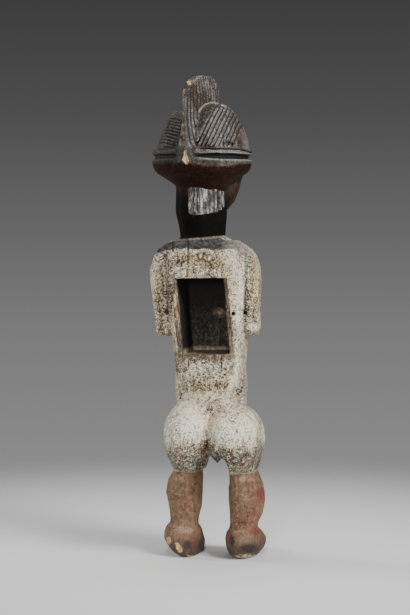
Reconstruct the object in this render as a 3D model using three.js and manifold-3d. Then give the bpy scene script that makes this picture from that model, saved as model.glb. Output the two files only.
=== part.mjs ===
// A standing reliquary ancestor figure, carved from one block of wood, with an open compartment in its
// back. Millimetres, +Z up. The figure faces -Y, so its back and the compartment face +Y, and its right
// is -X.
import * as THREE from 'three';
import { mergeVertices } from 'three/addons/utils/BufferGeometryUtils.js';
import Module from 'manifold-3d';

// Driving dimensions
const HEIGHT = 800;
const CROWN_Z = 677;
const BRIM_HALF = 83;
const HEAD_Y = -6;
const HEAD_TURN = THREE.MathUtils.degToRad(-10);
const NECK_HALF = 38;
const SHOULDER_Z = 527;
const SHOULDER_HALF = 88;
const ELBOW_Z = 370;
const TORSO_HALF = 62;
const BACK_Y = 52;
const HIP_Z = 240;
const KNEE_Z = 144;
const ANKLE_Z = 60;
const LEG_SPREAD = 51;
const LEG_MIDDLE = -4;
const GAP_MIDDLE = -9;

// The compartment and the seat that its lid rested on
const CAVITY_HALF = 40;
const CAVITY_LOW = 341;
const CAVITY_HIGH = 466;
const CAVITY_DEPTH = 92;
const SEAT_RIM = 6;
const SEAT_DEPTH = 4;
const CAVITY_TURN = THREE.MathUtils.degToRad(1.3);

// Combed ribs of the hair: the depth of the grooves on the lobes, and the ribs of the crest, which widen
// forwards
const RIB_DEPTH = 2.2;
const CREST_RIBS = 15;
const CREST_PITCH = 7;
const CREST_WIDENING = 0.22;

// How far the carving leans to its left at each height, as its log did
const LEAN = [[0, 0], [HIP_Z, 0], [SHOULDER_Z, 14], [600, 19], [HEIGHT, 18]];

const wasm = await Module();
wasm.setup();

// A closed three.js geometry as a solid that can be joined and cut
const solid = (geometry) => {
  const shell = geometry.clone();
  shell.deleteAttribute('normal');
  shell.deleteAttribute('uv');
  const merged = mergeVertices(shell, 1e-3);
  return new wasm.Manifold(new wasm.Mesh({
    numProp: 3,
    vertProperties: new Float32Array(merged.attributes.position.array),
    triVerts: new Uint32Array(merged.index.array),
  }));
};

const join = (geometries) => geometries.map(solid).reduce((whole, next) => whole.add(next));

// Moves every point of a geometry: move(p) changes the vector that it is given
const shaped = (geometry, move) => {
  const points = geometry.attributes.position;
  const p = new THREE.Vector3();
  for (let i = 0; i < points.count; i += 1) {
    p.fromBufferAttribute(points, i);
    move(p);
    points.setXYZ(i, p.x, p.y, p.z);
  }
  return geometry;
};

const power = (value, exponent) => Math.sign(value) * Math.abs(value) ** exponent;

// A column through level sections. A station is its height, the middle in x, the half width, the y of its
// front and of its back, and how square its front and back are: 2 is an ellipse, 5 is nearly a box.
const column = (stations, sides, steps) => {
  const heights = stations.map((station) => station[0]);
  const sizes = stations.flatMap((station) => station.slice(1));
  const spline = new THREE.CubicInterpolant(heights, sizes, stations[0].length - 1);
  const spans = stations.length - 1;
  const drum = new THREE.CylinderGeometry(1, 1, 1, sides, spans * steps).rotateX(Math.PI / 2);
  return shaped(drum, (p) => {
    const place = (p.z + 0.5) * spans;
    const span = Math.min(Math.floor(place + 1e-6), spans - 1);
    const z = THREE.MathUtils.lerp(heights[span], heights[span + 1], place - span);
    const [middle, half, front, back, squareFront, squareBack] = spline.evaluate(z);
    const exponent = 2 / (p.y < 0 ? squareFront : squareBack);
    const across = power(p.x, exponent) * half;
    const along = power(p.y, exponent) * (back - front) / 2;
    p.set(middle + across, (front + back) / 2 + along, z);
  });
};

const ball = (x, y, z, halfX, halfY, halfZ, around = 20, down = 12) =>
  new THREE.SphereGeometry(1, around, down).rotateX(Math.PI / 2)
    .scale(halfX, halfY, halfZ).translate(x, y, z);

const block = (x, y, z, lengthX, lengthY, lengthZ) =>
  new THREE.BoxGeometry(lengthX, lengthY, lengthZ).translate(x, y, z);

const outlineOf = (points) => new THREE.Shape(points.map(([across, up]) => new THREE.Vector2(across, up)));

// An outline in the XZ plane, pushed along Y from one y to another
const frontPlate = (points, fromY, toY) =>
  new THREE.ExtrudeGeometry(outlineOf(points), { depth: toY - fromY, bevelEnabled: false })
    .rotateX(Math.PI / 2).translate(0, toY, 0);

// An outline in the YZ plane, pushed along X to both sides of the middle
const sidePlate = (points, half) =>
  new THREE.ExtrudeGeometry(outlineOf(points), { depth: 2 * half, bevelEnabled: false })
    .rotateZ(Math.PI / 2).rotateY(Math.PI / 2).translate(-half, 0, 0);

// A column bent along a curve: its height becomes the way along, its y the upward side
const bent = (geometry, curve, length) => {
  const up = new THREE.Vector3(0, 0, 1);
  return shaped(geometry, (p) => {
    const t = THREE.MathUtils.clamp(p.z / length, 0, 1);
    const side = new THREE.Vector3().crossVectors(up, curve.getTangent(t)).normalize();
    p.copy(curve.getPoint(t).addScaledVector(side, p.x).addScaledVector(up, p.y));
  });
};

// Torso: a squared column with a flat back and a fuller belly, running down into the hips
const torso = column([
  [222, 2, 52, -46, 40, 2.4, 2.4],
  [252, 2.2, 57.8, -56, 43, 2.4, 2.6],
  [285, 2, 59, -64, 45, 2.4, 2.8],
  [320, 1.5, 57.5, -66, 48, 2.5, 3.2],
  [352, -1, 59, -62, 50.5, 2.8, 4],
  [400, -3, 64, -57, BACK_Y, 3, 5],
  [460, -6.5, TORSO_HALF + 7.5, -55, BACK_Y, 3.2, 5.5],
  [500, -9, TORSO_HALF + 9, -50, BACK_Y, 3.4, 5.5],
  [SHOULDER_Z, -2, 56, -36, BACK_Y - 2, 3.4, 5],
], 36, 1);

// Shoulders and upper arms: a slab through the chest, its top corners cut off at a slant
const armColumn = column([
  [ELBOW_Z - 12, 2, SHOULDER_HALF, -26, 25, 5, 5],
  [ELBOW_Z + 40, 2, SHOULDER_HALF + 1, -27, 28, 5, 5],
  [ELBOW_Z + 95, 0.5, SHOULDER_HALF + 4, -29, 36, 5, 5],
  [SHOULDER_Z - 16, 1, SHOULDER_HALF + 3, -28, 44, 5, 5],
  [SHOULDER_Z + 8, 1, SHOULDER_HALF, -22, 44, 5, 5],
], 28, 1);
const armOutline = (side, fall, lift) => [
  [0, SHOULDER_Z + 1],
  [0, ELBOW_Z + 60],
  [side * (TORSO_HALF - 14), ELBOW_Z + 4 + lift],
  [side * (TORSO_HALF + 2), ELBOW_Z - 3 + lift],
  [side * (SHOULDER_HALF - 6), ELBOW_Z + lift],
  [side * (SHOULDER_HALF + 4), ELBOW_Z + 9 + lift],
  [side * (SHOULDER_HALF + 6), SHOULDER_Z - 52],
  [side * (SHOULDER_HALF + 3 - fall), SHOULDER_Z - 38],
  [side * (SHOULDER_HALF - 2 - fall), SHOULDER_Z - 26],
  [side * (SHOULDER_HALF - 10 - fall), SHOULDER_Z - 15],
  [side * (SHOULDER_HALF - 22 - fall), SHOULDER_Z - 6],
  [side * (SHOULDER_HALF - 34 - fall), SHOULDER_Z],
];
const arms = join([frontPlate(armOutline(1, 7, 0), -40, 60), frontPlate(armOutline(-1, 2, 6), -40, 60)])
  .intersect(solid(armColumn));

// Slanted cuts: the dark band along the back of the shoulders, and the underside of each elbow
const shoulderCut = sidePlate([[BACK_Y + 14, 492], [BACK_Y + 14, 560], [20, 560], [20, 543]], 110);
const elbowCut = sidePlate([[10, 350], [40, 350], [40, ELBOW_Z + 20], [26, ELBOW_Z + 12]], 110);

// Forearms: carved forwards along the body and round onto the belly, with flat hands
const FOREARM_LENGTH = 130;
const forearm = (side) => {
  const path = new THREE.QuadraticBezierCurve3(
    new THREE.Vector3(side * (SHOULDER_HALF - 15), 4, 391),
    new THREE.Vector3(side * (SHOULDER_HALF - 17), -74, 376),
    new THREE.Vector3(side * 12, -66, 388),
  );
  const limb = column([
    [0, 0, 12, -20, 19, 3, 3],
    [0.3 * FOREARM_LENGTH, 0, 12, -17, 16, 2.6, 2.6],
    [0.62 * FOREARM_LENGTH, 0, 9.5, -12, 12, 2.4, 2.4],
    [0.78 * FOREARM_LENGTH, 0, 8.5, -16, 16, 3, 3],
    [FOREARM_LENGTH, 0, 6, -14, 13, 3.4, 3.4],
  ], 12, 2);
  return bent(limb, path, FOREARM_LENGTH);
};
const FINGER_PITCH = 7;
const fingerCuts = (side) => [-1, 0, 1].map((n) =>
  block(0, 0, 0, 30, 1.6, 3.2).rotateX(Math.PI / 4)
    .rotateZ(side * 0.2).translate(side * 22, -78, 387 + n * FINGER_PITCH));
const hands = join([forearm(1), forearm(-1)]).subtract(join([...fingerCuts(1), ...fingerCuts(-1)]));

// Neck: eight flat faces, widest a little above its middle
const neckFace = (z, half) => [z, 3, half + 1.5, HEAD_Y - half * 0.92, HEAD_Y + half * 0.92, 2, 2];
const neck = column([
  neckFace(SHOULDER_Z - 22, NECK_HALF - 1),
  neckFace(SHOULDER_Z + 5, NECK_HALF - 2),
  neckFace(573, NECK_HALF + 4.5),
  neckFace(602, NECK_HALF + 2),
  neckFace(640, NECK_HALF),
], 8, 1).translate(0, -HEAD_Y, 0).rotateZ(THREE.MathUtils.degToRad(6)).translate(0, HEAD_Y, 0);
const collar = column([
  [SHOULDER_Z - 8, 0, 50, HEAD_Y - 40, HEAD_Y + 44, 3, 4],
  [SHOULDER_Z + 5, 0, 40, HEAD_Y - 36, HEAD_Y + 38, 2.4, 2.6],
], 24, 1);

// Head: built about its own middle, looking along -Y, and turned when it is joined.
// The underside of the head flares to the hairline, and two ridges run round the brim of the hair.
const brimRing = (z, shrink) => [z, 0, BRIM_HALF - shrink, -BRIM_HALF + shrink + 3, 76 - shrink, 2.1, 2.1];
const brim = column([
  brimRing(604, 50),
  brimRing(613, 43),
  brimRing(623, 31.5),
  brimRing(631, 19.5),
  brimRing(638, 8.5),
  brimRing(643, 4),
  brimRing(652, 0.5),
  brimRing(660, -0.5),
  brimRing(663, 4.5),
  brimRing(667, 4.5),
  brimRing(669, -0.5),
  brimRing(674, 0),
  brimRing(CROWN_Z, 4),
  brimRing(CROWN_Z + 4, 12),
], 26, 1);

// One lobe of hair on each side, steep towards the crest and sloping outwards. A lobe has its own frame
// here: x outwards, y backwards and z up. The left lobe is the longer and more pointed one.
const LOBE_X = 37;
const LOBE_Y = -10;
const LOBE_HEIGHT = 75;
const lobeLength = (y) => (y > 0 ? 76 : 54);
const lobeHeight = (z) => (z > 0 ? LOBE_HEIGHT : 8);
const lobeBend = (x, roundness) => (x < 0 ? 6 : roundness);

// The lobe's point that lies furthest along a direction
const lobeTip = (half, roundness, direction) => {
  const best = new THREE.Vector3();
  const p = new THREE.Vector3();
  for (let x = -half; x <= half; x += half / 40) {
    const bend = lobeBend(x, roundness);
    const rim = (1 - Math.abs(x / half) ** bend) ** (1 / bend);
    for (let turn = 0; turn < 2 * Math.PI; turn += Math.PI / 40) {
      p.set(x, Math.cos(turn), Math.sin(turn));
      p.set(x, p.y * rim * lobeLength(p.y), p.z * rim * lobeHeight(p.z));
      if (p.dot(direction) > best.dot(direction)) best.copy(p);
    }
  }
  return best;
};

// A combed lobe: rings round an axis that is square to the grooves, each ring shot out to the lobe's
// surface and then drawn in by its dip. The rings run from one tip of the lobe to the other.
const LOBE_SIDES = 12;
const combedLobe = (side, half, roundness, axis, firstGroove, pitch, grooves) => {
  const inside = (p) => {
    const bend = lobeBend(p.x, roundness);
    const rim = Math.hypot(p.y / lobeLength(p.y), p.z / lobeHeight(p.z));
    return (Math.abs(p.x) / half) ** bend + rim ** bend < 1;
  };
  const low = lobeTip(half, roundness, axis.clone().negate());
  const high = lobeTip(half, roundness, axis);
  const [lowest, highest] = [low.dot(axis), high.dot(axis)];
  const lastGroove = firstGroove + (grooves - 1) * pitch;
  const rings = [];
  for (let groove = 0; groove < grooves; groove += 1) {
    const place = firstGroove + groove * pitch;
    rings.push([place - pitch / 2, 0], [place, RIB_DEPTH]);
  }
  rings.push([lastGroove + pitch / 2, 0]);
  const plain = 4;
  for (let i = 1; i <= plain; i += 1) {
    const part = Math.sin(Math.PI / 2 * i / (plain + 0.6));
    rings.unshift([THREE.MathUtils.lerp(firstGroove - pitch / 2, lowest, part), 0]);
    rings.push([THREE.MathUtils.lerp(lastGroove + pitch / 2, highest, part), 0]);
  }
  const across = new THREE.Vector3(0, 1, 0).cross(axis).normalize();
  const along = axis.clone().cross(across);
  const points = [low];
  for (const [place, dip] of rings) {
    const centre = (place < 0 ? low : high).clone().multiplyScalar(place / (place < 0 ? lowest : highest));
    for (let i = 0; i < LOBE_SIDES; i += 1) {
      const angle = 2 * Math.PI * i / LOBE_SIDES;
      const way = across.clone().multiplyScalar(Math.cos(angle)).addScaledVector(along, Math.sin(angle));
      let [near, far] = [0, 250];
      for (let halving = 0; halving < 24; halving += 1) {
        const middle = (near + far) / 2;
        if (inside(centre.clone().addScaledVector(way, middle))) near = middle;
        else far = middle;
      }
      points.push(centre.clone().addScaledVector(way, Math.max(0.4, near - dip)));
    }
  }
  points.push(high);
  const faces = [];
  const last = points.length - 1;
  for (let i = 0; i < LOBE_SIDES; i += 1) {
    const next = (i + 1) % LOBE_SIDES;
    faces.push([0, 1 + next, 1 + i], [last, last - LOBE_SIDES + i, last - LOBE_SIDES + next]);
    for (let ring = 0; ring < rings.length - 1; ring += 1) {
      const [here, above] = [1 + ring * LOBE_SIDES, 1 + (ring + 1) * LOBE_SIDES];
      faces.push([here + i, here + next, above + next], [here + i, above + next, above + i]);
    }
  }
  const geometry = new THREE.BufferGeometry().setFromPoints(points);
  geometry.setIndex(faces.flatMap((face) => (side > 0 ? face : face.toReversed())));
  return shaped(geometry, (p) => p.set(side * (p.x + LOBE_X), p.y + LOBE_Y, p.z + CROWN_Z - 1));
};

// The grooves slant steeply outwards on the right lobe, and lie nearly level on the left one
const acrossLeft = new THREE.Vector3(-0.24, -0.1, 0.966).normalize();
const acrossRight = new THREE.Vector3(0.84, -0.34, -0.423).normalize();
const leftLobe = combedLobe(1, 50, 1.1, acrossLeft, 4, 5.4, 9);
const rightLobe = combedLobe(-1, 43, 1.37, acrossRight, -43.7, 6.43, 9);

// The crest: a tall thin tongue from the nape to the forehead, ribbed upright on both faces. Its plan is a
// pointed oval, extruded upwards, swelling towards its foot, and cut to its outline as seen from the side.
const CREST_BACK = 86;
const CREST_FRONT = -74;
const CREST_FOOT = 644;
const crestMiddle = (CREST_BACK + CREST_FRONT) / 2;
const crestReach = (CREST_BACK - CREST_FRONT) / 2;
const crestPlan = () => {
  const faceSide = (side) => {
    const points = [];
    for (let half = 1; half < 2 * CREST_RIBS; half += 1) {
      const rib = half / 2;
      const dip = half % 2 ? 0 : 0.18;
      points.push([side * (1 - dip), CREST_BACK - rib * (CREST_PITCH + CREST_WIDENING * rib)]);
    }
    return side > 0 ? points.reverse() : points;
  };
  return [...faceSide(1), [0, CREST_BACK], ...faceSide(-1), [0, CREST_FRONT]];
};
const crestHalf = (y, z) => {
  const rise = THREE.MathUtils.clamp((z - 745) / (HEIGHT + 2 - 745), 0, 1);
  const foot = THREE.MathUtils.clamp((728 - z) / (728 - CREST_FOOT), 0, 1);
  const reach = Math.min(1, Math.abs(y - crestMiddle) / crestReach);
  const half = 16 * Math.sqrt(1 - 0.9 * rise * rise) + 20 * foot ** 1.2;
  const blunt = (y < crestMiddle ? 3.2 : 1.7) + 4 * foot ** 1.4;
  return half * Math.max(0.04, 1 - reach ** blunt);
};
const CREST_RISE = HEIGHT + 1 - CREST_FOOT;
const crestBody = new THREE.ExtrudeGeometry(outlineOf(crestPlan()), {
  depth: CREST_RISE, steps: 4, bevelEnabled: false,
});
shaped(crestBody, (p) => {
  const z = CREST_FOOT + p.z;
  p.set(p.x * crestHalf(p.y, z), p.y, z);
});
const CREST_TOP_Y = -14;
const crestOutline = () => {
  const points = [
    [CREST_BACK - 12, CREST_FOOT],
    [CREST_BACK - 3, CREST_FOOT + 12],
    [CREST_BACK - 3, CREST_FOOT + 24],
    [CREST_BACK - 7, 700],
  ];
  const turns = 18;
  for (let i = 0; i <= turns; i += 1) {
    const angle = Math.PI * i / turns;
    const reach = angle < Math.PI / 2 ? CREST_BACK - 7 - CREST_TOP_Y : CREST_TOP_Y - CREST_FRONT;
    const across = power(Math.cos(angle), 2 / 2.1) * reach;
    points.push([CREST_TOP_Y + across, 738 + power(Math.sin(angle), 2 / 2.3) * (HEIGHT - 738)]);
  }
  points.push([CREST_FRONT - 2, 700], [CREST_FRONT + 4, CREST_FOOT]);
  return points;
};
const crest = solid(crestBody).intersect(solid(sidePlate(crestOutline(), 60)));

// The face: calm, by the usual thirds of hairline, brow, base of the nose and chin
const CHIN_Z = 574;
const HAIRLINE_Z = 700;
const third = (HAIRLINE_Z - CHIN_Z) / 3;
const BROW_Z = HAIRLINE_Z - third;
const NOSE_Z = BROW_Z - third;
const FACE_Y = -84;
const faceOval = column([
  [CHIN_Z - 2, 0, 16, FACE_Y + 18, 10, 2.2, 2],
  [CHIN_Z + 5, 0, 27, FACE_Y + 8, 10, 2.2, 2],
  [CHIN_Z + 18, 0, 39, FACE_Y + 4, 10, 2.3, 2],
  [CHIN_Z + 38, 0, 49, FACE_Y + 3, 10, 2.3, 2],
  [CHIN_Z + 62, 0, 55, FACE_Y + 2, 10, 2.3, 2],
  [BROW_Z, 0, 57, FACE_Y, 10, 2.3, 2],
  [HAIRLINE_Z - 18, 0, 55, FACE_Y + 3, 10, 2.3, 2],
  [HAIRLINE_Z, 0, 46, FACE_Y + 13, 10, 2.3, 2],
], 24, 1);
const faceOpening = ball(0, FACE_Y + 10, 642, 60, 44, 70, 16, 10);
const noseWedge = shaped(sidePlate([
  [FACE_Y + 12, BROW_Z + 2],
  [FACE_Y - 1, BROW_Z - 3],
  [FACE_Y - 15, NOSE_Z + 7],
  [FACE_Y - 13, NOSE_Z],
  [FACE_Y + 12, NOSE_Z - 1],
], 1), (p) => {
  const down = THREE.MathUtils.clamp((BROW_Z - p.z) / third, 0, 1);
  p.x *= THREE.MathUtils.lerp(4.5, 11, down ** 1.4);
});
const features = (side) => [
  ball(side * 22, FACE_Y + 4.5, BROW_Z - 11, 12.5, 7, 6, 10, 6),
  ball(0, 0, 0, 19, 5.5, 3.6, 12, 6).rotateY(side * 0.08).translate(side * 23, FACE_Y + 4, BROW_Z - 1),
  ball(side * 55, FACE_Y + 52, BROW_Z - 16, 6, 9, 19, 10, 8),
];
const lips = [
  ball(0, FACE_Y + 2.5, NOSE_Z - 13, 18, 7, 4, 12, 6),
  ball(0, FACE_Y + 4.5, NOSE_Z - 20.5, 15.5, 7, 4.6, 12, 6),
];
const hair = join([leftLobe, rightLobe]).add(crest);
const head = solid(brim).subtract(solid(faceOpening))
  .add(hair)
  .add(join([faceOval, noseWedge, ...features(1), ...features(-1), ...lips]));
const turnedHead = head.rotate([0, 0, THREE.MathUtils.radToDeg(HEAD_TURN)]).translate([0, HEAD_Y, 0]);

// Hips and legs: round buttocks that overhang short calves, on thick feet
const buttock = (side) => (side > 0
  ? ball(34, 22, 203, 44, 65, 61, 20, 14)
  : ball(-40, 22, 201, 46.5, 65, 60, 20, 14));
const hip = (side) => ball(side * 43 + LEG_MIDDLE, -8, 202 + side * 3, 40, 48, 54, 16, 10);
const thigh = (side) => column([
  [KNEE_Z, side * 44 + LEG_MIDDLE, 25, -38, 34, 2.6, 2.4],
  [KNEE_Z + 8, side * 44.5 + LEG_MIDDLE, 29, -42, 40, 2.5, 2.4],
  [KNEE_Z + 26, side * 44 + LEG_MIDDLE, 33, -46, 48, 2.5, 2.4],
  [KNEE_Z + 60, side * 42 + LEG_MIDDLE, 37, -48, 52, 2.4, 2.4],
], 22, 1);
const calf = (side, drop) => column([
  [ANKLE_Z - 30, side * LEG_SPREAD, 25, -30, 24, 2.4, 2.4],
  [ANKLE_Z - drop / 2, side * LEG_SPREAD + LEG_MIDDLE / 2, 23.5, -27, 20, 2.4, 2.4],
  [82 - drop, side * (LEG_SPREAD + drop / 4) + LEG_MIDDLE, 27.5, -29, 27, 2.5, 2.4],
  [106 - drop, side * (LEG_SPREAD + 2 + drop / 6) + LEG_MIDDLE, 30.5, -31, 33, 2.5, 2.4],
  [128 - drop, side * (LEG_SPREAD + drop / 8) + LEG_MIDDLE, 28.5, -34, 32, 2.6, 2.4],
  [KNEE_Z + 6, side * (LEG_SPREAD - 5) + LEG_MIDDLE, 21, -36, 27, 2.6, 2.4],
], 20, 1);
const footTurn = (side) => (side > 0 ? 0.1 : -0.03);
const foot = (side, slip, drop) => column([
  [0, -slip, 19, -66, 24 + slip / 2, 2.6, 2.2],
  [6, -0.8 * slip, 26, -75, 32 + slip / 2, 2.8, 2.2],
  [14, -0.45 * slip, 30, -80, 36.5 + slip / 4, 3, 2.2],
  [26 - drop / 2, 0, 32 - drop / 4, -76, 39, 3, 2.3],
  [37 - drop, 0, 31.5 - drop / 4, -60, 38, 2.7, 2.3],
  [46 - drop, 0, 28, -44, 32.5, 2.5, 2.3],
  [52 - drop, 0, 22, -32, 22, 2.4, 2.3],
], 22, 1).rotateZ(footTurn(side)).translate(side * (LEG_SPREAD + 1), 0, 0);
const toeCuts = (side) => [-1.5, -0.5, 0.5, 1.5].map((n) =>
  block(n * 12, -86, 18, 2.6, 34, 40).rotateX(-0.1)
    .rotateZ(footTurn(side)).translate(side * (LEG_SPREAD + 1), 0, 0));

// The gap cut between the legs, which widens to the front and the back
const GAP_TURN = THREE.MathUtils.degToRad(10);
const gapHalf = [[120, 19.5], [150, 18.5], [162, 16.5], [172, 13], [177, 6]];
const gapCut = (turn) => frontPlate([
  ...gapHalf.map(([z, half]) => [half, z]),
  ...gapHalf.toReversed().map(([z, half]) => [-half, z]),
], -110, 110).rotateZ(turn).translate(GAP_MIDDLE, 0, 0);
const wedge = new THREE.ConeGeometry(24, 27, 8).rotateX(-Math.PI / 2).scale(1, 1.1, 1)
  .translate(GAP_MIDDLE, 8, 169.5);

const legs = join([1, -1].flatMap((side) => {
  const drop = side > 0 ? 0 : 8;
  return [buttock(side), hip(side), thigh(side), calf(side, drop), foot(side, side > 0 ? 10 : 0, drop / 2)];
})).subtract(join([gapCut(GAP_TURN), gapCut(-GAP_TURN), ...toeCuts(1), ...toeCuts(-1)])).add(solid(wedge));

// The whole carving, with the compartment and its lid seat cut into it, a little askew
const cavityHeight = CAVITY_HIGH - CAVITY_LOW;
const cavityMiddle = (CAVITY_HIGH + CAVITY_LOW) / 2;
const askew = (geometry) => geometry.rotateY(CAVITY_TURN).translate(0, 0, cavityMiddle);
const cavity = askew(block(
  0, BACK_Y + 10 - CAVITY_DEPTH / 2, 0,
  2 * CAVITY_HALF, CAVITY_DEPTH + 20, cavityHeight,
));
const seat = askew(block(
  0, BACK_Y + 20 - SEAT_DEPTH, -SEAT_RIM / 2,
  2 * (CAVITY_HALF + SEAT_RIM), 40, cavityHeight + SEAT_RIM,
));
const upper = arms.subtract(solid(elbowCut)).add(solid(torso)).subtract(solid(shoulderCut));
const carving = upper.add(join([neck, collar])).add(hands).add(turnedHead).add(legs)
  .subtract(join([cavity, seat]));

// The solid as a three.js geometry, leaning with the log and standing on z = 0 about its middle
const leanSpline = new THREE.CubicInterpolant(LEAN.map(([z]) => z), LEAN.map(([, x]) => x), 1);
const mesh = carving.getMesh();
const geometry = new THREE.BufferGeometry();
geometry.setAttribute('position', new THREE.BufferAttribute(new Float32Array(mesh.vertProperties), 3));
geometry.setIndex(new THREE.BufferAttribute(new Uint32Array(mesh.triVerts), 1));
shaped(geometry, (p) => p.setX(p.x + leanSpline.evaluate(p.z)[0]));
geometry.computeBoundingBox();
const middle = geometry.boundingBox.getCenter(new THREE.Vector3());
geometry.translate(-middle.x, -middle.y, -geometry.boundingBox.min.z);
geometry.computeVertexNormals();

const wood = new THREE.MeshStandardMaterial({ color: 0x9c8f7e, roughness: 0.8, metalness: 0 });
const carvedFigure = new THREE.Mesh(geometry, wood);
carvedFigure.name = 'carved_figure';

const figure = new THREE.Group();
figure.add(carvedFigure);

export default figure;
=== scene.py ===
# A reliquary ancestor figure of painted hardwood, seen from behind, with the open compartment in its back.
# Metres, +Z up. The figure faces -Y and stands on the floor plane z = 0.
import math
import bpy
import numpy as np
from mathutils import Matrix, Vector


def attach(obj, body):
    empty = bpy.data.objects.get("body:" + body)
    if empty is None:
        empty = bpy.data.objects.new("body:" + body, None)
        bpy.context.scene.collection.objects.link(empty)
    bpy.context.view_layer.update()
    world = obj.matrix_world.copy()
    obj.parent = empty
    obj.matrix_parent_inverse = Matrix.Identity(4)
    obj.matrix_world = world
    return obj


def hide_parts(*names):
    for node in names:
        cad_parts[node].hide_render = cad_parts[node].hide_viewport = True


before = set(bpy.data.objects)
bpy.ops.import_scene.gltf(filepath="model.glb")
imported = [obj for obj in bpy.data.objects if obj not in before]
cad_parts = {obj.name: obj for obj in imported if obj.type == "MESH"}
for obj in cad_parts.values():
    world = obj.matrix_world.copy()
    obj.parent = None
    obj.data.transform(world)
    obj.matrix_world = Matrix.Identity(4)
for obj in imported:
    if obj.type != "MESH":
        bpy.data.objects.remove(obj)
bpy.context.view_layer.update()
MM = 0.001

# The camera, at the photograph's angle: behind the figure, a little to its right, level with its neck.
# The photograph's frame is 410 by 615 pixels, and its long side takes the whole height of the sensor.
AZIMUTH = math.radians(192)
CAMERA_DISTANCE = 2.600
CAMERA_HEIGHT = 0.560
AIM_HEIGHT = 0.415
AIM_ASIDE = 0.0077
FIELD_HEIGHT = 1.0264
SENSOR_HEIGHT = 36
FRAME_PIXELS = (410, 615)

toward_camera = Vector((math.sin(AZIMUTH), -math.cos(AZIMUTH), 0))
view_right = Vector((math.cos(AZIMUTH), math.sin(AZIMUTH), 0))
aim = Vector((0, 0, AIM_HEIGHT)) - view_right * AIM_ASIDE
eye = aim + toward_camera * CAMERA_DISTANCE + Vector((0, 0, CAMERA_HEIGHT - AIM_HEIGHT))
view_forward = (aim - eye).normalized()
view_up = view_right.cross(view_forward)

bpy.ops.object.select_all(action="DESELECT")
bpy.ops.object.camera_add(location=eye, rotation=view_forward.to_track_quat("-Z", "Y").to_euler())
camera = bpy.context.object
camera.name = "camera"
camera.data.sensor_fit = "VERTICAL"
camera.data.sensor_height = SENSOR_HEIGHT
camera.data.lens = SENSOR_HEIGHT * (aim - eye).length / FIELD_HEIGHT
bpy.context.scene.camera = camera

# The studio: a small pale floor that fades out round its rim, a grey backdrop that darkens upwards, and soft
# lights. The key is a large softbox above and to the right of the camera, and weaker ones fill from the
# front, from the left and from above.
FLOOR_RADIUS = 1.6
FLOOR_FADE = (0.25, 1.15)


def linear(hex_colour):
    """An sRGB hex colour as linear red, green, blue and alpha."""
    channels = [int(hex_colour[i:i + 2], 16) / 255 for i in (1, 3, 5)]
    return [c / 12.92 if c <= 0.04045 else ((c + 0.055) / 1.055) ** 2.4 for c in channels] + [1.0]


def add_node(tree, kind, settings=None, links=None):
    """Adds a node to a tree. Settings name its attributes or input sockets, and links its input sockets."""
    node = tree.nodes.new(kind)
    for name, value in (settings or {}).items():
        if isinstance(name, str) and hasattr(node, name):
            setattr(node, name, value)
        else:
            node.inputs[name].default_value = value
    for name, socket in (links or {}).items():
        tree.links.new(socket, node.inputs[name])
    return node


bpy.ops.mesh.primitive_circle_add(vertices=96, radius=FLOOR_RADIUS, fill_type="NGON", location=(0, 0, 0))
floor = bpy.context.object
floor.name = "studio_floor"
paper = bpy.data.materials.new("pale_matt_paper")
paper.use_nodes = True
tree = paper.node_tree
tree.nodes.clear()
place = add_node(tree, "ShaderNodeTexCoord")
distance = add_node(tree, "ShaderNodeVectorMath", {"operation": "LENGTH"}, {0: place.outputs["Object"]})
fade = add_node(tree, "ShaderNodeMapRange", {
    "interpolation_type": "SMOOTHSTEP", "From Min": FLOOR_FADE[0], "From Max": FLOOR_FADE[1],
}, {"Value": distance.outputs["Value"]})
sheet = add_node(tree, "ShaderNodeBsdfDiffuse", {"Color": linear("#eeeeee")})
clear = add_node(tree, "ShaderNodeBsdfTransparent")
mixed = add_node(tree, "ShaderNodeMixShader", None, {
    0: fade.outputs["Result"], 1: sheet.outputs["BSDF"], 2: clear.outputs["BSDF"],
})
add_node(tree, "ShaderNodeOutputMaterial", None, {"Surface": mixed.outputs["Shader"]})
floor.data.materials.append(paper)

surround = bpy.data.worlds.new("studio_surround")
surround.use_nodes = True
bpy.context.scene.world = surround
tree = surround.node_tree
tree.nodes.clear()
direction = add_node(tree, "ShaderNodeTexCoord").outputs["Object"]
upward = add_node(tree, "ShaderNodeSeparateXYZ", None, {"Vector": direction}).outputs["Z"]
BACKDROP_SINES = (-0.26, 0.16)
BACKDROP_COSINES = (0.55, 0.9)
place = add_node(tree, "ShaderNodeMapRange", {
    "From Min": BACKDROP_SINES[0], "From Max": BACKDROP_SINES[1],
}, {"Value": upward})
backdrop = add_node(tree, "ShaderNodeValToRGB", None, {"Fac": place.outputs["Result"]})
BACKDROP_STOPS = [
    (0.0, "#cfcfcf"), (0.13, "#b0b0b0"), (0.23, "#919191"), (0.3, "#898989"),
    (0.46, "#7b7b7b"), (0.6, "#686868"), (0.78, "#505050"), (1.0, "#3c3c3c"),
]
for stop, colour in BACKDROP_STOPS[1:-1]:
    backdrop.color_ramp.elements.new(stop)
for element, (stop, colour) in zip(backdrop.color_ramp.elements, BACKDROP_STOPS):
    element.position = stop
    element.color = linear(colour)
ahead = add_node(tree, "ShaderNodeVectorMath", {"operation": "DOT_PRODUCT", 1: view_forward}, {0: direction})
is_backdrop = add_node(tree, "ShaderNodeMapRange", {
    "interpolation_type": "SMOOTHSTEP", "From Min": BACKDROP_COSINES[0], "From Max": BACKDROP_COSINES[1],
}, {"Value": ahead.outputs["Value"]})
around = add_node(tree, "ShaderNodeMix", {"data_type": "RGBA"}, {"Factor": is_backdrop.outputs["Result"]})
around.inputs[6].default_value = linear("#454546")
tree.links.new(backdrop.outputs["Color"], around.inputs[7])
glow = add_node(tree, "ShaderNodeBackground", {"Strength": 1.0}, {"Color": around.outputs[2]})
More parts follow.
